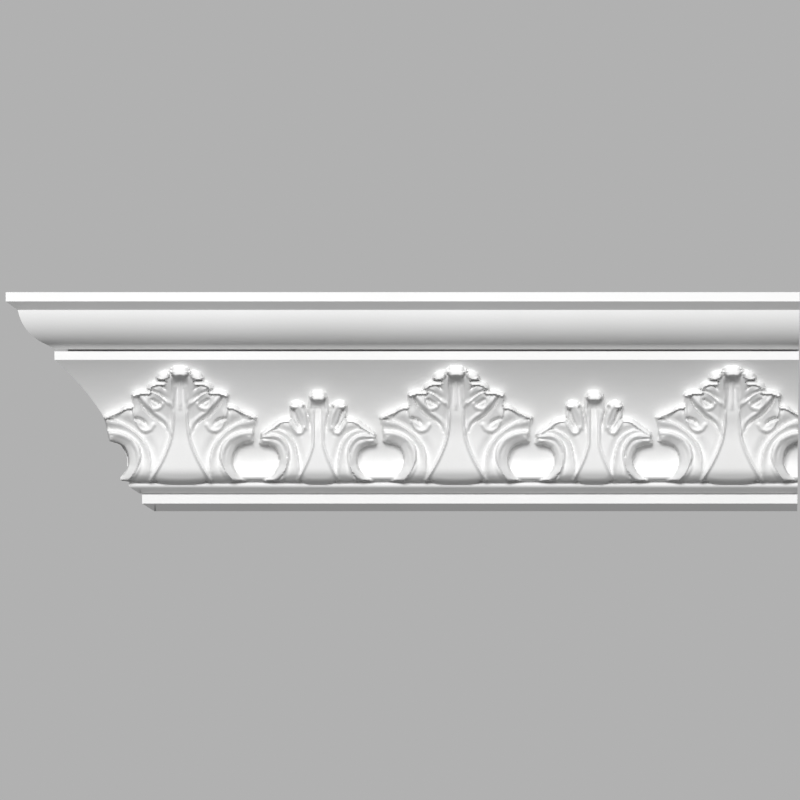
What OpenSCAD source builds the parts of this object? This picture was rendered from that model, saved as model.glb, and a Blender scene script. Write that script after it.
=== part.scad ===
// Cornice moulding length with an acanthus leaf frieze, one cast piece.
// The left end is a 45 degree outside mitre and the right end is cut square.
// +X runs to the right along the length, +Z is up and the front faces -Y.
// The wall is the plane y = 0. The origin lies on the wall bearing face, at half
// the height of that face and half the length of the front edge.

/* [Overall] */
// length along the front edge of the top fillet
length = 430; // [350:5:1000]
// height from the bottom edge to the ceiling face
height = 119; // [114:1:145]
// how far the top fillet stands out from the wall
projection = 90; // [86:1:120]

/* [Moulding bands] */
// height of the flat fillet at the top front
top_fillet_h = 5; // [3:0.5:8]
// height of the sloping soffit under the top fillet
soffit_drop = 4.6; // [3:0.2:6]
// depth of the sloping soffit
soffit_depth = 6; // [4:0.5:8]
// height of the round ovolo and its foot
ovolo_h = 22; // [18:0.5:25]
// how far the ovolo rounds out from a straight slope
ovolo_round = 2.9; // [1.5:0.1:4.5]
// height of the fillet between the ovolo and the frieze
middle_fillet_h = 5; // [3:0.5:7]
// how far the middle fillet stands out from the wall
middle_fillet_d = 64; // [60:1:68]
// how far the frieze is hollowed behind a straight slope
frieze_hollow = 2.2; // [1:0.1:3]
// height of the flat face of the lowest fillet
lower_fillet_h = 5; // [3:0.5:6]
// radius of the bead over the lowest fillet
bead_r = 1.7; // [1.2:0.1:2]

/* [Back] */
// height of the face that bears on the wall
wall_face_h = 26; // [18:1:34]
// depth of the face that bears on the ceiling
ceiling_face_d = 26; // [18:1:28]

/* [Leaves] */
// distance between two large leaves
leaf_pitch = 150; // [148:1:220]
// distance from the left end to the middle of the first large leaf
first_leaf = 94; // [85:1:115]
// height of a large leaf
leaf_h = 64.8; // [52:0.2:66]
// width of a large leaf over its outermost points
leaf_w = 82; // [70:1:90]
// height of a small leaf
small_leaf_h = 51.6; // [42:0.2:62]
// width of a small leaf over its outermost points
small_leaf_w = 61; // [54:1:64]
// how far the leaf blade stands out from the frieze
leaf_relief = 4.4; // [3:0.2:6]
// how far the points of the lobes lean forward over the blade
tip_lean = 3.6; // [2:0.2:5]

/* [Hidden] */
$fn = 96;
plaster_white = [0.93, 0.93, 0.91];

// heights of the bands, from the bottom up
chamfer_h = 4.5;
bead_rise = 4.9;
lip_h = 3;
low_hollow_h = 6.6;
lower_fillet_top = chamfer_h + lower_fillet_h;
bead_z = lower_fillet_top + bead_rise;
crease_z = bead_z + bead_r;
lip_z = crease_z + lip_h;
hollow_z = lip_z + low_hollow_h;
top_fillet_z = height - top_fillet_h;
ovolo_top = top_fillet_z - soffit_drop;
ovolo_bottom = ovolo_top - ovolo_h;
frieze_top = ovolo_bottom - middle_fillet_h;
knee_z = hollow_z + (frieze_top - hollow_z) / 3;

// depths of the bands, measured out from the wall
bottom_d = 12;
lower_fillet_d = 17;
bead_d = 24.2;
crease_d = 23.4;
lip_d = 28.4;
lip_round = 1.2;
hollow_d = 24.6;
knee_d = 33.6;
quirk = 1;
ovolo_foot_out = 5.3;
ovolo_foot_rise = 3.8;
ovolo_foot_hollow = 0.3;
low_hollow = 1.4;

function sq(v) = v * v;
function clamp01(v) = max(0, min(1, v));
function ease(v) = let (c = clamp01(v)) c * c * (3 - 2 * c);
function mix(a, b, u) = a + (b - a) * u;

// The bed the leaves stand on follows the frieze but spans its low hollow.
frieze_slope = (middle_fillet_d - knee_d) / (frieze_top - knee_z);
function frieze_sag(z) =
    let (u = clamp01((z - knee_z) / (frieze_top - knee_z)))
    4 * u * (1 - u) * frieze_hollow * norm([1, frieze_slope]);
function bed_d(z) =
    lookup(z, [[lip_z, lip_d], [knee_z, knee_d], [frieze_top, middle_fillet_d]]) - frieze_sag(z);

// Two neighbouring leaves leave a round hollow between them. It is stated by
// its height, its radius and its distance from the middle of either leaf.
round_hollow_z = hollow_z + 1;
round_hollow_r = 11.5;
large_to_hollow = 41.5;
small_to_hollow = 33.5;

// Lobes of half a leaf from its top down. Each is the point of the lobe and the
// notch below it, as [reach over half width, height over leaf height], then
// where its rib starts at the foot and how far the rib is drawn in, both over
// the half width.
large_lobes = [
    [[0.14, 0.965], [0.13, 0.930], 0.05, 0.05],
    [[0.30, 0.925], [0.28, 0.885], 0.10, 0.08],
    [[0.44, 0.850], [0.42, 0.800], 0.16, 0.12],
    [[0.62, 0.770], [0.57, 0.700], 0.23, 0.16],
    [[0.77, 0.685], [0.74, 0.615], 0.31, 0.21],
    [[1.00, 0.560], [0.91, 0.450], 0.42, 0.28],
    [[0.96, 0.415], [0.84, 0.350], 0.64, 0.42]
];
small_lobes = [
    [[0.28, 0.950], [0.21, 0.890], 0.08, 0.08],
    [[0.52, 0.860], [0.44, 0.770], 0.18, 0.14],
    [[0.74, 0.700], [0.68, 0.620], 0.30, 0.22],
    [[1.00, 0.575], [0.92, 0.500], 0.42, 0.28],
    [[1.00, 0.450], [0.84, 0.390], 0.60, 0.36]
];
edge_top = [0.80, 0.33];

// A leaf is [half width, height, lobes, distance to the round hollow beside it,
// half width of its rounded foot].
large_leaf = [leaf_w / 2, leaf_h, large_lobes, large_to_hollow, 13.5];
small_leaf = [small_leaf_w / 2, small_leaf_h, small_lobes, small_to_hollow, 9];

// how many pitches the last large leaf and the last small one lie beyond the first
after_first = length - first_leaf;
last_large = floor((after_first + leaf_w / 2) / leaf_pitch);
last_small = floor((after_first + small_leaf_w / 2) / leaf_pitch - 0.5);

// rows from the foot to the edge, and steps between two neighbouring ribs, which
// are coarser on a long piece with many leaves
rows = 13;
steps = last_large + last_small > 5 ? 1 : 2;

// carving of the leaves
edge_h = 1.6;
rib_h = 1.5;
notch_depth = 1.9;
pocket_depth = 2.6;
pocket_height = 0.84;
pocket_half_w = 4.5;
foot_rise = 3;
foot_turn = 8;
foot_under_cut = 7;
buried = 7;
leaf_bottom = crease_z - 1.6;

// A rib is [its end at the edge, its start at the foot, how far in it is drawn,
// its crest]. The crest is 1 along a lobe, -1 in a notch and 0 at the outer edge.
function rib(leaf, end, start, drawn, crest) =
    let (half_w = leaf[0])
    let (foot_x = start * half_w)
    let (edge_point = [end[0] * half_w, leaf_bottom + end[1] * leaf[1]])
    [edge_point, [foot_x, foot_z(leaf, foot_x)], drawn * half_w, crest];

// the outer corner of the foot, where it meets the round hollow
function corner_x(leaf) =
    leaf[3] - sqrt(sq(round_hollow_r) - sq(round_hollow_z - leaf_bottom - foot_rise));

// The foot of a leaf hangs lowest at its middle and rises to either side.
function foot_z(leaf, x) =
    let (slope = abs(x) / corner_x(leaf))
    let (turn = ease((abs(x) - leaf[4]) / foot_turn))
    leaf_bottom + foot_rise * mix(slope, turn, 0.75);

// how far in the outer edge is drawn so that it bends round the hollow
function edge_drawn(leaf) = 1.9 * (leaf[3] - round_hollow_r) - corner_x(leaf);

function ribs(leaf) =
    let (lobes = leaf[2])
    let (last = len(lobes) - 1)
    let (corner = corner_x(leaf) / leaf[0])
    let (drawn = edge_drawn(leaf) / leaf[0])
    let (beyond = concat(lobes, [[edge_top, edge_top, corner, drawn]]))
    concat(
        [rib(leaf, [0, 1], 0, 0, 0.6)],
        [for (i = [0 : last]) for (crest = [1, -1])
            let (this = beyond[i])
            let (next = beyond[i + 1])
            crest > 0
                ? rib(leaf, this[0], this[2], this[3], crest)
                : rib(leaf, this[1], (this[2] + next[2]) / 2, (this[3] + next[3]) / 2, crest)
        ],
        [rib(leaf, edge_top, corner, drawn, 0)]
    );

// Rib number v of a list. A part number lies between two ribs and mixes them.
function rib_at(list, v) =
    let (k = min(floor(v), len(list) - 2))
    [for (item = [0 : 3]) mix(list[k][item], list[k + 1][item], v - k)];

// point [x, z] along a rib, with t = 0 at the foot and t = 1 at the edge
function along(r, t) =
    let (bend = [r[2], mix(r[1][1], r[0][1], 0.62)])
    sq(1 - t) * r[1] + 2 * t * (1 - t) * bend + sq(t) * r[0];

// height of the carving over the bed, at point p of rib r
function carving(leaf, r, p, t) =
    let (crest = r[3])
    let (high = (p[1] - leaf_bottom) / leaf[1])
    let (inside = ease((1 - t) / 0.16))
    let (blade = leaf_relief * inside)
    let (fold = crest > 0 ? rib_h * crest : notch_depth * crest * ease((t - 0.1) / 0.5))
    let (lean = ease((t - 0.72) / 0.14) * ease((1.06 - t) / 0.1) * ease((crest + 1) / 0.6))
    let (top_lean = 0.45 + 0.55 * ease((high - 0.7) / 0.2))
    let (pocket = (1 - ease(abs(high - pocket_height) / 0.07)) * (1 - ease(p[0] / pocket_half_w)))
    edge_h + blade + fold * mix(0.35, 1, inside) + tip_lean * lean * top_lean - pocket_depth * pocket;

// The foot rounds under towards the crease over the bead.
function under_cut(z) = foot_under_cut * sq(clamp01((lip_z + 1.5 - z) / 6));

function front_point(leaf, list, v, t, side) =
    let (r = rib_at(list, v))
    let (p = along(r, t))
    [side * p[0], -(bed_d(p[1]) + carving(leaf, r, p, t) - under_cut(p[1])), p[1]];

// One leaf as a closed solid: a carved front that fans out along its ribs, plain
// sides, and a plain back that is buried in the moulding.
module carved_leaf(leaf) {
    list = ribs(leaf);
    half_cols = steps * (len(list) - 1);
    wide = 2 * half_cols + 1;
    front = [for (i = [0 : rows]) for (j = [-half_cols : half_cols])
        front_point(leaf, list, abs(j) / steps, i / rows, sign(j))
    ];
    carved = [for (i = [0 : rows - 1]) for (j = [0 : wide - 2]) for (half = [0, 1])
        let (k = i * wide + j)
        half == 0 ? [k, k + wide, k + wide + 1] : [k, k + wide + 1, k + 1]
    ];
    // the right hand rim, from the top of the leaf round to the middle of its foot
    rim = concat(
        [for (j = [0 : half_cols]) [rows, j]],
        [for (i = [rows - 1 : -1 : 0]) [i, half_cols]],
        [for (j = [half_cols - 1 : -1 : 0]) [0, j]]
    );
    last = len(rim) - 1;
    rim_right = [for (e = rim) e[0] * wide + half_cols + e[1]];
    rim_left = [for (e = rim) e[0] * wide + half_cols - e[1]];
    function behind(k) = let (p = front[k]) [p[0], -(bed_d(p[2]) - buried), p[2]];
    back = concat([for (k = rim_right) behind(k)], [for (m = [1 : last - 1]) behind(rim_left[m])]);
    first = len(front);
    back_right = [for (m = [0 : last]) first + m];
    back_left = [for (m = [0 : last]) m == 0 || m == last ? first + m : first + last + m];
    right = [for (m = [0 : last - 1])
        [rim_right[m], back_right[m], back_right[m + 1], rim_right[m + 1]]
    ];
    left = [for (m = [0 : last - 1])
        [rim_left[m], rim_left[m + 1], back_left[m + 1], back_left[m]]
    ];
    plain = [for (m = [1 : last - 2])
        [back_right[m], back_left[m], back_left[m + 1], back_right[m + 1]]
    ];
    ends = [
        [back_right[0], back_left[1], back_right[1]],
        [back_right[last - 1], back_left[last - 1], back_right[last]]
    ];
    polyhedron(points = concat(front, back), faces = concat(carved, right, left, plain, ends));
}

// corners of the profile, each [y, z] with y negative out from the wall
ovolo_start = [-(projection - soffit_depth), ovolo_top];
ovolo_foot = [-(middle_fillet_d + ovolo_foot_out), ovolo_bottom + ovolo_foot_rise];
ovolo_end = [-(middle_fillet_d - quirk), ovolo_bottom];
frieze_start = [-middle_fillet_d, frieze_top];
frieze_knee = [-knee_d, knee_z];
low_hollow_start = [-hollow_d, hollow_z + low_hollow];
lip_top = [-lip_d, lip_z];
lip_foot = [-(lip_d - lip_round), crease_z + lip_round];

// Points of a circular arc from p0 to just before p1. It rises by `bulge` over
// the straight line between them, on the left of it when `bulge` is positive.
function arc(p0, p1, bulge, steps) =
    let (chord = norm(p1 - p0))
    let (ahead = (p1 - p0) / chord)
    let (left = [-ahead[1], ahead[0]])
    let (half_turn = 2 * atan(2 * bulge / chord))
    let (radius = chord / 2 / sin(half_turn))
    [for (i = [0 : steps - 1])
        let (turn = half_turn * (2 * i / steps - 1))
        i == 0
            ? p0
            : p0 + (chord / 2 + radius * sin(turn)) * ahead
                + radius * (cos(turn) - cos(half_turn)) * left
    ];

// steps along the arcs of the profile
ovolo_steps = 12;
foot_steps = 2;
frieze_steps = 8;
low_hollow_steps = 5;

module profile() {
    polygon(concat(
        [
            [0, 0],
            [-bottom_d, 0],
            [-lower_fillet_d, chamfer_h],
            [-lower_fillet_d, lower_fillet_top],
            [-(bead_d - bead_r), bead_z - bead_r],
            [-crease_d, crease_z],
            lip_foot
        ],
        arc(lip_top, low_hollow_start, -low_hollow, low_hollow_steps),
        [low_hollow_start],
        arc(frieze_knee, frieze_start, -frieze_hollow, frieze_steps),
        [frieze_start, [-middle_fillet_d, ovolo_bottom]],
        arc(ovolo_end, ovolo_foot, -ovolo_foot_hollow, foot_steps),
        arc(ovolo_foot, ovolo_start, ovolo_round, ovolo_steps),
        [
            ovolo_start,
            [-projection, top_fillet_z],
            [-projection, height],
            [-(projection - ceiling_face_d), height],
            [0, wall_face_h]
        ]
    ));
    translate([-(bead_d - bead_r), bead_z]) circle(r = bead_r);
}

half_length = length / 2;
spare = 5;

module cornice_length() {
    first_x = first_leaf - half_length;
    color(plaster_white) translate([0, 0, -wall_face_h / 2]) difference() {
        union() {
            translate([-half_length, 0, 0]) rotate([90, 0, 90])
                linear_extrude(height = length) profile();
            for (i = [0 : last_large]) {
                translate([first_x + i * leaf_pitch, 0, 0]) carved_leaf(large_leaf);
            }
            for (i = [0 : last_small]) {
                translate([first_x + (i + 0.5) * leaf_pitch, 0, 0]) carved_leaf(small_leaf);
            }
        }
        // the mitre: at the wall the length starts one projection further in
        translate([0, 0, -spare]) linear_extrude(height = height + 2 * spare) polygon([
            [-half_length - spare, -projection - spare],
            [-half_length + projection + spare, spare],
            [-half_length - spare, spare]
        ]);
        // the square end, where the last leaf runs on past it
        translate([half_length, -projection, 0]) cube([leaf_w, projection, height]);
    }
}

cornice_length();
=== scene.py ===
import math

import bmesh
import bpy
import numpy as np
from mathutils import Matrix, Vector


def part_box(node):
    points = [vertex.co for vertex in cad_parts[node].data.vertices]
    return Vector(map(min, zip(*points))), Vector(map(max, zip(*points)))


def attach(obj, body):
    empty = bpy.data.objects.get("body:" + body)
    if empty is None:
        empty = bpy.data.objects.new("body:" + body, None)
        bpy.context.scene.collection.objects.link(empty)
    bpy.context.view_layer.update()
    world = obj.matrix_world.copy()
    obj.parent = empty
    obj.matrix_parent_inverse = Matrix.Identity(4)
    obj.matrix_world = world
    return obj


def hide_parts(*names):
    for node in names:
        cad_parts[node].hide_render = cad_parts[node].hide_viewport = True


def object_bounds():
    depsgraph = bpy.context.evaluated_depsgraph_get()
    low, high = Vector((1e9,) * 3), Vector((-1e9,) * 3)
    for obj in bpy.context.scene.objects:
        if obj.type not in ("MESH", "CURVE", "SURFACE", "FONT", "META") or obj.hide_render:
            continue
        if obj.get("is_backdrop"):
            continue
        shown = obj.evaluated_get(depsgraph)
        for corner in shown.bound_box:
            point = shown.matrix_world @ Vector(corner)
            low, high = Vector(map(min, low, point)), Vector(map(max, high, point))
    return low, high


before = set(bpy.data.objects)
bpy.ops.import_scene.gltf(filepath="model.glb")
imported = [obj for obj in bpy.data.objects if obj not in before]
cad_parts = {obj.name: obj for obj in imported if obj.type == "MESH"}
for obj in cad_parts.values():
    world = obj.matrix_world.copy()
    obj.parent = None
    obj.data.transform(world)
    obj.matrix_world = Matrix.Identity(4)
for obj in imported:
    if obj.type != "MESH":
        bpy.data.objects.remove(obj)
cad_lo, cad_hi = (list(v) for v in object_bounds())

MM = 0.001
lo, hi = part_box("cornice_length")
FOOT = lo[2] / MM  # the bottom edge, in millimetres in the frame
HEIGHT = (hi[2] - lo[2]) / MM
LENGTH = (hi[0] - lo[0]) / MM
PROJECTION = (hi[1] - lo[1]) / MM
HALF = LENGTH / 2

# ---- the plain profile, in millimetres: depth out from the wall, height over the bottom edge
CHAMFER_H, LOWER_TOP, BEAD_Z, BEAD_R, CREASE_Z = 4.2, 9.7, 14.4, 1.7, 16.1
LIP_Z, HOLLOW_Z, KNEE_Z, FRIEZE_TOP = 19.1, 29.4, 44.6, 82.4
LEDGE_Z, OVOLO_FOOT_Z, OVOLO_TOP, FILLET_Z = 87.0, 91.2, 109.4, 114.0
BOTTOM_D, LOWER_D, BEAD_D, CREASE_D, LIP_D, HOLLOW_D = 12.0, 17.0, 24.2, 23.4, 28.4, 24.4
KNEE_D, MIDDLE_D, OVOLO_FOOT_D, SOFFIT_D = 33.6, 64.0, 69.3, 83.6
WALL_FACE, CEILING_FACE = 26.0, 26.0
FRIEZE_HOLLOW, OVOLO_ROUND, LOW_HOLLOW, FOOT_HOLLOW = 2.2, 2.9, 1.4, 0.3
BED_HOLLOW = 2.82  # how far the bed under the leaves is hollowed behind a straight slope
SLOT_D, SLOT_H = 7.0, 1.1  # the dark crease between the middle fillet and the ovolo


def arc(p, q, bulge, steps):
    """Points from p to q on a circular arc that rises by bulge on the left."""
    p, q = np.array(p), np.array(q)
    chord = np.linalg.norm(q - p)
    ahead = (q - p) / chord
    left = np.array([-ahead[1], ahead[0]])
    half = 2 * math.atan(2 * bulge / chord)
    radius = chord / 2 / math.sin(half)
    out = []
    for i in range(steps + 1):
        a = half * (2 * i / steps - 1)
        across = radius * (math.cos(a) - math.cos(half))
        out.append(p + (chord / 2 + radius * math.sin(a)) * ahead + across * left)
    return out


bead = [
    (BEAD_D - BEAD_R + BEAD_R * math.cos(a), BEAD_Z + BEAD_R * math.sin(a))
    for a in np.linspace(-math.pi / 3, math.pi / 3, 9)
]
chamfer = [(BOTTOM_D - 1.6, 0.0), (LOWER_D, CHAMFER_H)]
lower_fillet = [(LOWER_D, LOWER_TOP), (LOWER_D + 1.4, LOWER_TOP + 0.01)]
lip = [(LIP_D - 2.4, CREASE_Z + 0.4), (LIP_D - 1.1, CREASE_Z + 1.2), (LIP_D - 0.3, CREASE_Z + 2.0)]
profile = (
    chamfer
    + lower_fillet
    + bead
    + [(CREASE_D, CREASE_Z)]
    + lip
    + arc((LIP_D, LIP_Z - 0.2), (HOLLOW_D, HOLLOW_Z), LOW_HOLLOW, 8)
    + arc((KNEE_D, KNEE_Z), (MIDDLE_D, FRIEZE_TOP), FRIEZE_HOLLOW, 12)
)
profile_d = np.array([p[0] for p in profile])
profile_z = np.array([p[1] for p in profile])
slot = [(MIDDLE_D - SLOT_D, LEDGE_Z + 0.1), (MIDDLE_D - SLOT_D, LEDGE_Z + SLOT_H - 0.1)]
ovolo = (
    slot
    + arc((MIDDLE_D + 0.6, LEDGE_Z + SLOT_H), (OVOLO_FOOT_D, OVOLO_FOOT_Z), FOOT_HOLLOW, 3)[:-1]
    + arc((OVOLO_FOOT_D, OVOLO_FOOT_Z), (SOFFIT_D, OVOLO_TOP), -OVOLO_ROUND, 14)
)


def ease(v):
    """A smooth step from 0 to 1."""
    c = np.clip(v, 0, 1)
    return c * c * (3 - 2 * c)


def bed(z):
    """The surface the leaves stand on: the frieze, carried straight over its low hollow."""
    u = np.clip((z - KNEE_Z) / (FRIEZE_TOP - KNEE_Z), 0, 1)
    slope = np.interp(z, [LIP_Z, KNEE_Z, FRIEZE_TOP], [LIP_D, KNEE_D, MIDDLE_D])
    return slope - 4 * u * (1 - u) * BED_HOLLOW


def smooth(line, z, reach):
    """The mean of a line over a short stretch, which takes the corner off where two curves meet."""
    return np.mean([line(z + o) for o in np.linspace(-reach, reach, 9)], axis=0)


# ---- the leaves. u is the distance from a leaf's middle line, z the height over the bottom edge
LARGE_X, SMALL_X = (-121.0, 29.0, 179.0), (-46.0, 104.0)
HOLLOW_CENTRE_Z = 27.4

# "hollow" is the middle of the round hollow beside the leaf, its rim and the leaf's outer fold
# from that middle. "edge" is the outline of one half from its top to its foot.
LARGE = {
    "hollow": (41.6, 13.2, 18.5),
    "edge": [
        (0, 79.2), (3.2, 79.0), (5.2, 77.6), (6.2, 76.5), (8.6, 76.5), (11.4, 75.4), (13.0, 73.0),
        (12.9, 70.9), (14.8, 70.6), (17.2, 69.2), (18.1, 66.8), (17.8, 65.0), (19.6, 66.0),
        (22.6, 65.9), (25.9, 64.6), (26.4, 62.6), (25.6, 59.0), (26.2, 57.4), (29.0, 58.0),
        (33.4, 54.6), (38.0, 53.0), (41.4, 51.6), (41.2, 50.2), (40.4, 46.4), (39.8, 42.6),
        (38.6, 39.0), (33.0, 36.2), (29.8, 33.0), (27.6, 29.0), (27.0, 25.6), (28.2, 21.8),
        (30.6, 18.4), (30.4, 16.0), (24.0, 15.0), (15.0, 15.0), (13.0, 14.0), (6.0, 12.9), (0, 12.7),
    ],
    # raised folds: points along the crest, half width, height
    "ridges": [
        ([(3.2, 67.5), (3.9, 57.9), (3.9, 49.3), (5.0, 40.6), (7.3, 33.6), (10.8, 26.0),
          (16.4, 16.6)], 1.4, 1.7),
        ([(4.4, 57.5), (8.6, 61.4), (13.4, 65.4), (17.0, 66.6)], 1.8, 1.4),
        ([(0, 56.0), (0, 62.0), (0, 70.0)], 1.5, 1.6),
        ([(5.4, 43.0), (7.6, 48.4), (12.6, 52.6), (18.0, 57.6), (21.6, 62.0), (24.6, 64.0)], 2.0, 1.8),
        ([(16.4, 22.0), (16.2, 28.0), (17.9, 34.1), (21.9, 40.1), (26.5, 44.4), (32.5, 47.2),
          (39.6, 49.0)], 2.6, 1.0),
        ([(27.4, 17.5), (24.4, 21.7), (22.6, 26.0), (22.6, 31.6), (24.5, 36.3), (28.0, 39.8),
          (32.6, 41.8), (38.4, 42.4)], 2.6, 2.2),
        ([(17.6, 64.0), (17.0, 58.6), (14.2, 55.8), (11.2, 56.2), (9.6, 58.4)], 1.5, 1.2),
        ([(25.2, 61.0), (25.4, 52.6), (23.4, 46.2), (20.0, 43.8), (16.6, 44.4), (14.6, 47.0)], 1.8, 1.4),
    ],
    # rolled edges of the lobes: these lean out over the blade
    "rolls": [
        ([(0, 76.3), (2.2, 76.1)], 2.9, 3.4),
        ([(7.8, 74.2), (10.2, 73.4)], 2.5, 2.4),
        ([(8.6, 70.0), (12.0, 69.9), (15.4, 68.8), (17.0, 67.0)], 1.5, 1.8),
        ([(16.8, 65.0), (20.6, 65.0), (25.0, 63.8)], 1.5, 2.0),
        ([(26.8, 57.0), (30.2, 56.4), (35.0, 53.9), (40.8, 51.5)], 1.5, 1.7),
    ],
    # cut lines and drilled eyes, from the tip inward: points along the bottom, width on the
    # upper side, width on the lower side, depth. The lower side is the steep one on a fold.
    "grooves": [
        ([(12.1, 70.4), (9.6, 68.0), (7.4, 65.8)], 1.3, 0.8, 2.8),
        ([(15.4, 65.9), (11.2, 63.8), (6.5, 59.8)], 2.1, 0.9, 3.8),
        ([(22.9, 62.3), (20.6, 57.2), (15.9, 52.0), (11.2, 49.0), (8.3, 46.1), (7.2, 43.4)], 4.2, 0.9, 4.4),
        ([(15.0, 60.8), (11.0, 58.2)], 1.6, 1.4, 3.4),
        ([(23.6, 50.7), (20.6, 49.6), (18.0, 47.2)], 1.5, 2.0, 4.0),
        ([(38.8, 50.3), (32.4, 48.9), (24.7, 43.9), (19.4, 38.6), (16.5, 33.2), (15.6, 27.9),
          (16.2, 20.6)], 6.0, 0.9, 3.8),
        ([(37.6, 43.9), (32.4, 43.5), (26.5, 40.3), (22.4, 36.2), (21.2, 31.4), (21.5, 27.6),
          (24.0, 22.0), (27.2, 17.2)], 4.2, 0.8, 2.8),
        ([(26.4, 59.0), (26.3, 55.0), (25.2, 50.5), (23.4, 45.4), (19.6, 42.2),
          (16.2, 43.2)], 0.8, 1.8, 1.5),
        ([(17.0, 64.0), (16.0, 59.4), (13.6, 54.6), (11.2, 53.8)], 0.8, 1.6, 1.2),
        ([(3.2, 58.0), (4.6, 50.0), (5.9, 40.0), (8.4, 32.2), (12.0, 24.6)], 0.9, 3.2, 1.1),
    ],
    # the hollow under the curled tip: it deepens to its second point and runs out at its last
    "pockets": [([(0, 74.2), (0, 70.0), (0, 60.0), (0, 50.0)], 4.5, 5.6)],
    "foot": [(0.0, 13.6, 2.8), (22.4, 8.0, 0.8)],
}
SMALL = {
    "hollow": (33.5, 12.3, 16.7),
    "edge": [
        (0, 65.8), (3.0, 65.4), (4.8, 63.8), (5.2, 61.6), (5.9, 57.6), (7.6, 58.8), (10.2, 60.2),
        (13.4, 60.2), (15.4, 58.4), (15.6, 55.0), (15.6, 51.4), (17.6, 51.2), (21.4, 50.0),
        (24.6, 47.4), (30.4, 43.2), (31.4, 41.6), (30.2, 37.8), (28.2, 35.8), (23.6, 34.6),
        (20.2, 31.0), (18.8, 27.4), (19.4, 23.4), (22.2, 18.6), (24.6, 16.2), (17.0, 15.2),
        (10.0, 15.2), (8.6, 14.0), (4.0, 13.1), (0, 13.0),
    ],
    "ridges": [
        ([(2.6, 55.0), (2.7, 42.8), (2.8, 37.1), (4.0, 32.5), (6.5, 26.0), (10.9, 17.2)], 1.3, 1.5),
        ([(6.6, 45.0), (7.4, 50.0), (9.0, 55.0), (10.4, 57.5)], 1.8, 1.4),
        ([(10.3, 19.7), (10.8, 25.0), (11.4, 30.0), (12.8, 35.2), (14.9, 39.0), (18.2, 42.0),
          (22.9, 43.6), (27.8, 43.0)], 2.0, 0.9),
        ([(19.4, 18.0), (17.0, 25.0), (16.2, 30.0), (17.0, 35.0), (19.8, 39.2), (24.0, 41.0),
          (30.0, 40.6)], 2.0, 2.0),
        ([(15.6, 54.0), (14.4, 47.6), (11.6, 42.8), (9.0, 43.0), (7.8, 45.4)], 1.6, 1.8),
    ],
    "rolls": [
        ([(0, 63.2), (1.8, 63.0)], 2.9, 2.8),
        ([(9.6, 58.0), (13.3, 57.8)], 2.1, 1.5),
        ([(16.2, 50.0), (20.8, 49.2), (24.6, 46.6), (29.8, 43.2)], 1.8, 1.1),
    ],
    "grooves": [
        ([(13.4, 56.2), (11.6, 51.0), (9.6, 46.6), (8.6, 44.0)], 0.9, 1.9, 3.6),
        ([(6.4, 57.6), (4.9, 50.5), (3.9, 44.0)], 0.9, 1.7, 3.0),
        ([(15.2, 54.6), (14.6, 51.2), (11.6, 46.4), (8.5, 42.0)], 0.8, 2.0, 2.0),
        ([(27.0, 44.3), (22.4, 44.9), (17.2, 43.1), (13.8, 39.7), (11.8, 35.6), (10.5, 30.0),
          (9.9, 25.0), (9.5, 19.4)], 4.0, 0.9, 3.0),
        ([(29.6, 42.0), (23.4, 42.4), (18.8, 40.2), (16.0, 35.5), (15.4, 30.0), (16.2, 24.9),
          (18.7, 18.2)], 3.2, 0.8, 2.3),
        ([(5.9, 58.6), (5.8, 52.6)], 0.8, 1.0, 2.2),
        ([(1.3, 56.0), (1.4, 48.0), (1.5, 38.0)], 0.8, 0.8, 0.8),
        ([(4.0, 56.0), (4.2, 50.0), (4.4, 42.0)], 0.8, 0.8, 0.8),
    ],
    "pockets": [([(0, 61.2), (0, 57.6), (0, 50.0), (0, 42.0)], 3.8, 4.6)],
    "foot": [(0.0, 9.8, 2.4), (15.0, 7.0, 0.8)],
}
# the blade: its height over the bed, its share of that at the outline, how far in it is full,
# and the least height that a cut leaves
BLADE, EDGE_SHARE, EDGE_REACH, LEAST = 5.2, 0.62, 5.0, 0.6
# the step down at the outline: its width, and how far through it the outline lies
CLIFF_W, CLIFF_AT = 0.8, 0.3
# the wall of the round hollow: its height at the outer fold, the share of that which is a crisp
# step at the rim, the step's share of the width, and the degrees over which its ends run out
WALL_H, STEP_H, STEP_W, WALL_FADE = 7.0, 0.32, 0.12, 14
# a pocket is deepest this share of the way along it
POCKET_DEEPEST = 0.16
# how the rim and the outer fold close in on the hollow, by the angle round its middle
WALL_ANGLES = (-80, -50, -10, 35, 71, 84)
RIM_SHIFT = (-2.0, -1.0, 0, 0, -2.5, -3.0)
FOLD_SHIFT = (-5.0, -2.0, 0, 0, -4.4, -5.4)


def curve(points, per=7):
    """A smooth line through the named points."""
    p = np.array(points, float)
    if len(p) < 3:
        return p
    ends = np.vstack([2 * p[0] - p[1], p, 2 * p[-1] - p[-2]])
    out = []
    for i in range(len(p) - 1):
        a, b, c, d = ends[i : i + 4]
        for t in np.arange(per) / per:
            squares = (2 * a - 5 * b + 4 * c - d) * t**2
            cubes = (3 * b - a - 3 * c + d) * t**3
            out.append(0.5 * (2 * b + (c - a) * t + squares + cubes))
    return np.array(out + [p[-1]])


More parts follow.
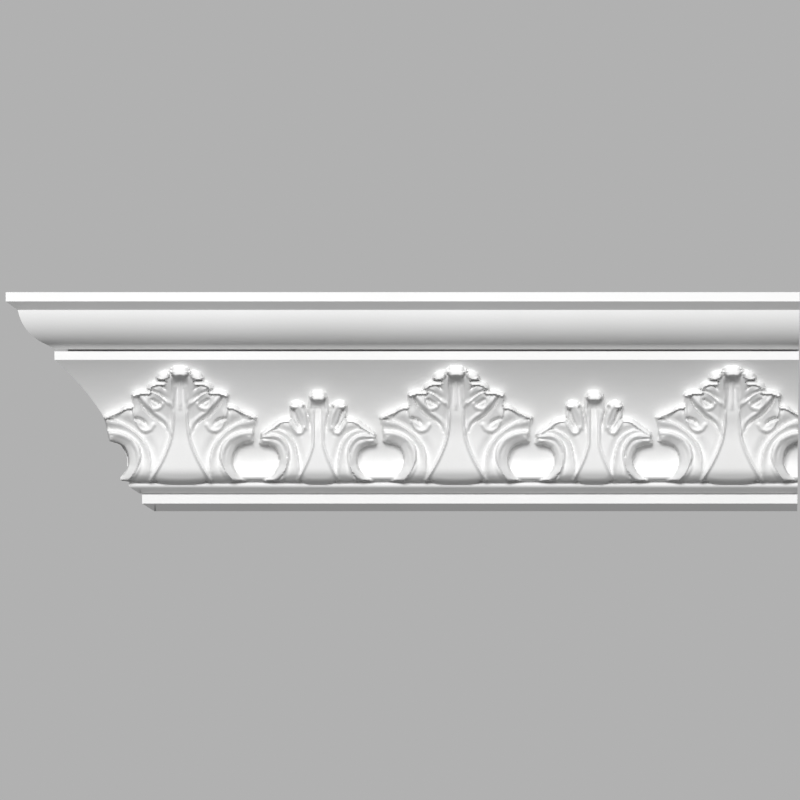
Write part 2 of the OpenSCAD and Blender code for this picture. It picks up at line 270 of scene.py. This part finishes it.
def along(u, z, points):
    """Distance of every grid point to a line, how far along it is, and whether on its left."""
    best = np.full(u.shape, 1e9)
    where = np.zeros(u.shape)
    left = np.zeros(u.shape, bool)
    steps = np.linalg.norm(np.diff(points, axis=0), axis=1)
    total, done = steps.sum(), 0.0
    for a, b, step in zip(points, points[1:], steps):
        d = b - a
        t = np.clip(((u - a[0]) * d[0] + (z - a[1]) * d[1]) / (step * step), 0, 1)
        dist = np.hypot(u - a[0] - t * d[0], z - a[1] - t * d[1])
        near = dist < best
        left = np.where(near, d[0] * (z - a[1]) - d[1] * (u - a[0]) > 0, left)
        best = np.where(near, dist, best)
        where = np.where(near, (done + t * step) / total, where)
        done += step
    return best, where, left


def inside_distance(u, z, edge):
    """Distance inside a half leaf's edge, negative outside."""
    outline = curve(edge, 5)
    dist, _, _ = along(u, z, outline)
    ring = np.vstack([outline, [[-1.0, outline[-1][1]], [-1.0, outline[0][1]]]])
    within = np.zeros(u.shape, bool)
    for a, b in zip(ring, np.roll(ring, -1, axis=0)):
        if a[1] == b[1]:
            continue
        crossing = (b[0] - a[0]) * (z - a[1]) / (b[1] - a[1]) + a[0]
        within ^= ((a[1] > z) != (b[1] > z)) & (u < crossing)
    return np.where(within, dist, -dist)


def carve(u, z, leaf):
    """Height of a leaf over the bed at every grid point, 0 away from it."""
    # beside the leaf is a round hollow: from its rim to the outer fold its wall slopes up
    middle, rim, fold = leaf["hollow"]
    out, up = middle - u, z - HOLLOW_CENTRE_Z
    r, angle = np.hypot(out, up), np.degrees(np.arctan2(up, out))
    rim = rim + np.interp(angle, WALL_ANGLES, RIM_SHIFT)
    fold = fold + np.interp(angle, WALL_ANGLES, FOLD_SHIFT)
    s = (r - rim) / (fold - rim)
    span = ease((WALL_ANGLES[-1] - angle) / WALL_FADE) * ease((angle - WALL_ANGLES[0]) / WALL_FADE)
    beside = np.where(s < 1, span, 0)
    depth = inside_distance(u, z, leaf["edge"])
    full = np.maximum(ease(depth / EDGE_REACH), beside)
    blade = BLADE * (EDGE_SHARE + (1 - EDGE_SHARE) * full)
    for points, wide, high in leaf["ridges"]:
        dist, t, _ = along(u, z, curve(points))
        fade = 0.5 + 0.5 * ease(t / 0.15)
        blade = blade + high * fade * np.clip(1 - (dist / wide) ** 2, 0, 1) ** 2
    for points, upper, lower, deep in leaf["grooves"]:
        dist, t, left = along(u, z, curve(points))
        wide = np.where(left, lower, upper)
        fade = ease((1 - t) / 0.35) * 0.8 + 0.2 if len(points) > 2 else 1.0
        blade = blade - deep * fade * np.clip(1 - dist / wide, 0, 1) ** np.where(left, 1.1, 2.0)
    for points, wide, deep in leaf["pockets"]:
        dist, t, _ = along(u, z, curve(points))
        run_out = 1 - ease((t - POCKET_DEEPEST) / (1 - POCKET_DEEPEST))
        bottom = np.where(t < POCKET_DEEPEST, t / POCKET_DEEPEST, run_out)
        blade = blade - deep * bottom * np.clip(1 - (dist / wide) ** 2, 0, 1) ** 0.7
    for points, wide, high in leaf["rolls"]:
        # low at the outer side, then up to a lip that stands over the blade
        dist, _, above = along(u, z, curve(points))
        ramp = 0.5 - np.where(above, 0.5, -0.5) * dist / wide
        lip_edge = np.clip(1 - (dist / wide) ** 8, 0, 1) ** 0.5
        roll = (BLADE + high) * (0.2 + 0.8 * ramp**0.75) * lip_edge
        blade = np.where(dist < wide, np.where(above, roll, np.maximum(blade, roll)), blade)
    cliff = ease(depth / CLIFF_W + CLIFF_AT)
    blade = np.maximum(blade, LEAST)
    wall = WALL_H * (STEP_H * ease(s / STEP_W) + (1 - STEP_H) * np.clip(s, 0, 1))
    return blade * cliff * (1 - beside) + np.minimum(blade, wall) * beside


# ---- the front as rows of points from the bottom edge to the top
COLUMNS, ROW = 705, 0.61
CARVED_FROM, CARVED_TO = 12.4, 80.0
CREASE_CUT, CREASE_HALF = 1.5, 0.95  # depth and half height of the crease over the bead
FOOT_TURN, TURN_FROM, TURN_TO = 9.0, 24.5, 13.9  # how far the feet turn under, and where
FRONT_LIMIT = PROJECTION - 2.0  # no leaf stands out as far as the top fillet
xs = np.linspace(-HALF, HALF, COLUMNS)
carved_rows = np.linspace(CARVED_FROM, CARVED_TO, int((CARVED_TO - CARVED_FROM) / ROW) + 1)
below = [(d, z) for d, z in profile if z < CARVED_FROM - 0.1]
above = [(float(np.interp(z, profile_z, profile_d)), z) for z in (81.2, FRIEZE_TOP)]
above += [(MIDDLE_D, LEDGE_Z)] + [tuple(p) for p in ovolo]
above += [(PROJECTION, FILLET_Z), (PROJECTION, HEIGHT)]

grid_x, grid_z = np.meshgrid(xs, carved_rows)
plain = np.interp(grid_z, profile_z, profile_d)
soft = smooth(lambda z: np.interp(z, profile_z, profile_d), grid_z, 5.0)
plain = plain + (soft - plain) * ease((grid_z - 22.5) / 4) * ease((70 - grid_z) / 15)
plain -= CREASE_CUT * np.clip(1 - ((grid_z - CREASE_Z - 0.3) / CREASE_HALF) ** 2, 0, 1)

# what the leaves add, and how far their feet hang over the crease above the bead
relief = np.zeros_like(grid_x)
hang = np.zeros_like(grid_x)
for centres, leaf in ((LARGE_X, LARGE), (SMALL_X, SMALL)):
    reach = max(p[0] for p in leaf["edge"]) + 3
    for cx in centres:
        cols = np.abs(xs - cx) < reach
        if cols.any():
            carved = carve(np.abs(grid_x[:, cols] - cx), grid_z[:, cols], leaf)
            relief[:, cols] = np.maximum(relief[:, cols], carved)
        for at, wide, drop in leaf["foot"]:
            du = np.abs(np.abs(grid_x - cx) - at) / wide
            hang = np.maximum(hang, drop * np.clip(1 - du**2, 0, 1))
under = CREASE_Z - hang
share = ease((grid_z - under) / 0.9)
turn = FOOT_TURN * np.clip((TURN_FROM - grid_z) / (TURN_FROM - TURN_TO), 0, 1) ** 2.6
higher = ease((grid_z - 24) / 6)
standing = smooth(bed, grid_z, 6.0) * higher + bed(grid_z) * (1 - higher) + relief - turn
covered = plain + (standing - plain) * share * ease(relief / 1.2)
front = np.where(relief > 0.02, np.maximum(plain, covered), plain)
front = np.minimum(front, FRONT_LIMIT)

depth_rows = [np.full(COLUMNS, d) for d, _ in below] + list(front)
depth_rows += [np.full(COLUMNS, d) for d, _ in above]
height_rows = [z for _, z in below] + list(carved_rows) + [z for _, z in above]

# rows with a sharp edge, and the angle from which any other edge is sharp
CORNERS = (0.0, CHAMFER_H, LOWER_TOP, FRIEZE_TOP, LEDGE_Z, LEDGE_Z + SLOT_H, OVOLO_TOP, FILLET_Z, HEIGHT)
SHARP = math.radians(38)

# ---- one closed mesh: the front, a plain back, then the mitre and the square end
bm = bmesh.new()
rows = []
for z, depths in zip(height_rows, depth_rows):
    rows.append([bm.verts.new((x * MM, -d * MM, (FOOT + z) * MM)) for x, d in zip(xs, depths)])
for low, high in zip(rows, rows[1:]):
    for i in range(COLUMNS - 1):
        bm.faces.new((low[i], low[i + 1], high[i + 1], high[i]))
back = [
    [bm.verts.new((x * MM, -d * MM, (FOOT + z) * MM)) for x in (-HALF, HALF)]
    for d, z in ((0.0, 0.0), (0.0, WALL_FACE), (PROJECTION - CEILING_FACE, HEIGHT))
]
bm.faces.new([back[0][0], back[0][1]] + rows[0][::-1])
bm.faces.new((back[1][0], back[1][1], back[0][1], back[0][0]))
bm.faces.new((back[2][0], back[2][1], back[1][1], back[1][0]))
bm.faces.new(rows[-1] + [back[2][1], back[2][0]])
bm.faces.new([r[-1] for r in rows] + [back[2][1], back[1][1], back[0][1]])
bm.faces.new([r[0] for r in rows][::-1] + [back[0][0], back[1][0], back[2][0]])
bmesh.ops.bisect_plane(
    bm,
    geom=bm.verts[:] + bm.edges[:] + bm.faces[:],
    dist=1e-7,
    plane_co=(-HALF * MM, -PROJECTION * MM, 0),
    plane_no=(-1, 1, 0),
    clear_outer=True,
)
for row, z in zip(rows, height_rows):
    if min(abs(z - corner) for corner in CORNERS) < 0.02:
        for a, b in zip(row, row[1:]):
            edge = bm.edges.get((a, b)) if a.is_valid and b.is_valid else None
            if edge:
                edge.smooth = False
rim = [e for e in bm.edges if len(e.link_faces) == 1]
bmesh.ops.holes_fill(bm, edges=rim, sides=0)
bmesh.ops.recalc_face_normals(bm, faces=bm.faces[:])
for e in bm.edges:
    if len(e.link_faces) == 2 and e.calc_face_angle() > SHARP:
        e.smooth = False
mesh = bpy.data.meshes.new("cornice_cast")
bm.to_mesh(mesh)
bm.free()
for p in mesh.polygons:
    p.use_smooth = True
cornice = bpy.data.objects.new("cornice_cast", mesh)
bpy.context.scene.collection.objects.link(cornice)
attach(cornice, "root")
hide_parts("cornice_length")


# ---- primed polyurethane: matt white with a faint spray grain and slow changes of tone
def primed_white():
    mat = bpy.data.materials.new("primed_white")
    mat.use_nodes = True
    tree = mat.node_tree
    nodes, links = tree.nodes, tree.links
    shader = nodes["Principled BSDF"]
    shader.inputs["Specular IOR Level"].default_value = 0.35
    place = nodes.new("ShaderNodeTexCoord")

    def noise(scale, detail, seed):
        n = nodes.new("ShaderNodeTexNoise")
        n.noise_dimensions = "4D"
        n.inputs["Scale"].default_value = scale
        n.inputs["Detail"].default_value = detail
        n.inputs["W"].default_value = seed
        links.new(place.outputs["Object"], n.inputs["Vector"])
        return n.outputs["Fac"]

    def ramp(value, low, high):
        r = nodes.new("ShaderNodeValToRGB")
        r.color_ramp.elements[0].position, r.color_ramp.elements[1].position = 0.3, 0.7
        r.color_ramp.elements[0].color = (*low, 1)
        r.color_ramp.elements[1].color = (*high, 1)
        links.new(value, r.inputs["Fac"])
        return r.outputs["Color"]

    tone = ramp(noise(14, 3, 2.0), (0.83, 0.83, 0.825), (0.87, 0.87, 0.87))
    links.new(tone, shader.inputs["Base Color"])
    rough = ramp(noise(60, 2, 5.0), (0.58,) * 3, (0.7,) * 3)
    links.new(rough, shader.inputs["Roughness"])
    grain = nodes.new("ShaderNodeBump")
    grain.inputs["Strength"].default_value = 0.12
    grain.inputs["Distance"].default_value = 0.0004
    links.new(noise(900, 3, 9.0), grain.inputs["Height"])
    links.new(grain.outputs["Normal"], shader.inputs["Normal"])
    return mat


mesh.materials.append(primed_white())

# ---- the stage: a plain backdrop and floor, soft light from the front above, and the camera
FILL_UP, FILL_DOWN, BACKDROP = 0.50, 0.05, 0.44
KEY, BACK_LIGHT = 101, 9
scene = bpy.context.scene
world = bpy.data.worlds.new("studio")
world.use_nodes = True
sky = world.node_tree
fill = sky.nodes["Background"]
fill.inputs["Color"].default_value = (1, 1, 1, 1)
towards = sky.nodes.new("ShaderNodeTexCoord")
split = sky.nodes.new("ShaderNodeSeparateXYZ")
height = sky.nodes.new("ShaderNodeMapRange")
height.inputs["From Min"].default_value, height.inputs["From Max"].default_value = -1, 1
height.inputs["To Min"].default_value, height.inputs["To Max"].default_value = FILL_DOWN, FILL_UP
sky.links.new(towards.outputs["Generated"], split.inputs[0])
sky.links.new(split.outputs["Z"], height.inputs["Value"])
sky.links.new(height.outputs[0], fill.inputs["Strength"])
plain_back = sky.nodes.new("ShaderNodeBackground")
plain_back.inputs["Color"].default_value = (BACKDROP,) * 3 + (1,)
ray = sky.nodes.new("ShaderNodeLightPath")
either = sky.nodes.new("ShaderNodeMixShader")
sky.links.new(ray.outputs["Is Camera Ray"], either.inputs[0])
sky.links.new(fill.outputs[0], either.inputs[1])
sky.links.new(plain_back.outputs[0], either.inputs[2])
sky.links.new(either.outputs[0], sky.nodes["World Output"].inputs["Surface"])
scene.world = world
scene.view_settings.view_transform = "Standard"


def area(name, place, aim, size, power):
    data = bpy.data.lights.new(name, "AREA")
    data.shape = "RECTANGLE"
    data.size, data.size_y = size
    data.energy = power
    lamp = bpy.data.objects.new(name, data)
    lamp.location = place
    lamp.rotation_euler = (Vector(aim) - Vector(place)).to_track_quat("-Z", "Y").to_euler()
    scene.collection.objects.link(lamp)
    return lamp


# the cornice hangs at a wall, so the floor lies well below it. It is as pale as the backdrop,
# neither lights nor shades the cornice, and can't be seen from below
floor_mesh = bpy.data.meshes.new("floor")
FLOOR_HALF, FLOOR_Z = 6.0, cad_lo[2] - 1.1
corners = [(a * FLOOR_HALF, b * FLOOR_HALF, FLOOR_Z) for a, b in ((-1, -1), (1, -1), (1, 1), (-1, 1))]
floor_mesh.from_pydata(corners, [], [(0, 1, 2, 3)])
floor_paint = bpy.data.materials.new("pale_floor")
floor_paint.use_nodes = True
paint = floor_paint.node_tree
paint.nodes.remove(paint.nodes["Principled BSDF"])
pale = paint.nodes.new("ShaderNodeEmission")
pale.inputs["Color"].default_value = (BACKDROP,) * 3 + (1,)
seen = paint.nodes.new("ShaderNodeMath")
seen.operation, seen.use_clamp = "SUBTRACT", True
paint.links.new(paint.nodes.new("ShaderNodeLightPath").outputs["Is Camera Ray"], seen.inputs[0])
paint.links.new(paint.nodes.new("ShaderNodeNewGeometry").outputs["Backfacing"], seen.inputs[1])
clear = paint.nodes.new("ShaderNodeBsdfTransparent")
mixed = paint.nodes.new("ShaderNodeMixShader")
paint.links.new(seen.outputs[0], mixed.inputs[0])
paint.links.new(clear.outputs[0], mixed.inputs[1])
paint.links.new(pale.outputs[0], mixed.inputs[2])
paint.links.new(mixed.outputs[0], paint.nodes["Material Output"].inputs["Surface"])
floor_mesh.materials.append(floor_paint)
floor = bpy.data.objects.new("floor", floor_mesh)
scene.collection.objects.link(floor)
floor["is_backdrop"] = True

centre = Vector([(a + b) / 2 for a, b in zip(cad_lo, cad_hi)])
area("key", (centre.x - 0.3, -3.1, 1.24), centre, (1.4, 0.7), KEY)
area("back", (centre.x + 0.9, 2.8, 1.0), centre, (1.4, 0.9), BACK_LIGHT)

camera = bpy.data.cameras.new("camera")
# a very long lens, because the picture has no perspective
camera.lens, camera.sensor_width = 1000, 36
FRAME_WIDTH = 0.4332
DISTANCE = FRAME_WIDTH * camera.lens / camera.sensor_width
eye = bpy.data.objects.new("camera", camera)
eye.location = (-0.0015, cad_lo[1] - DISTANCE, 0.0476)
eye.rotation_euler = (math.pi / 2, 0, 0)
camera.clip_start, camera.clip_end = 0.5, 60
scene.collection.objects.link(eye)
scene.camera = eye
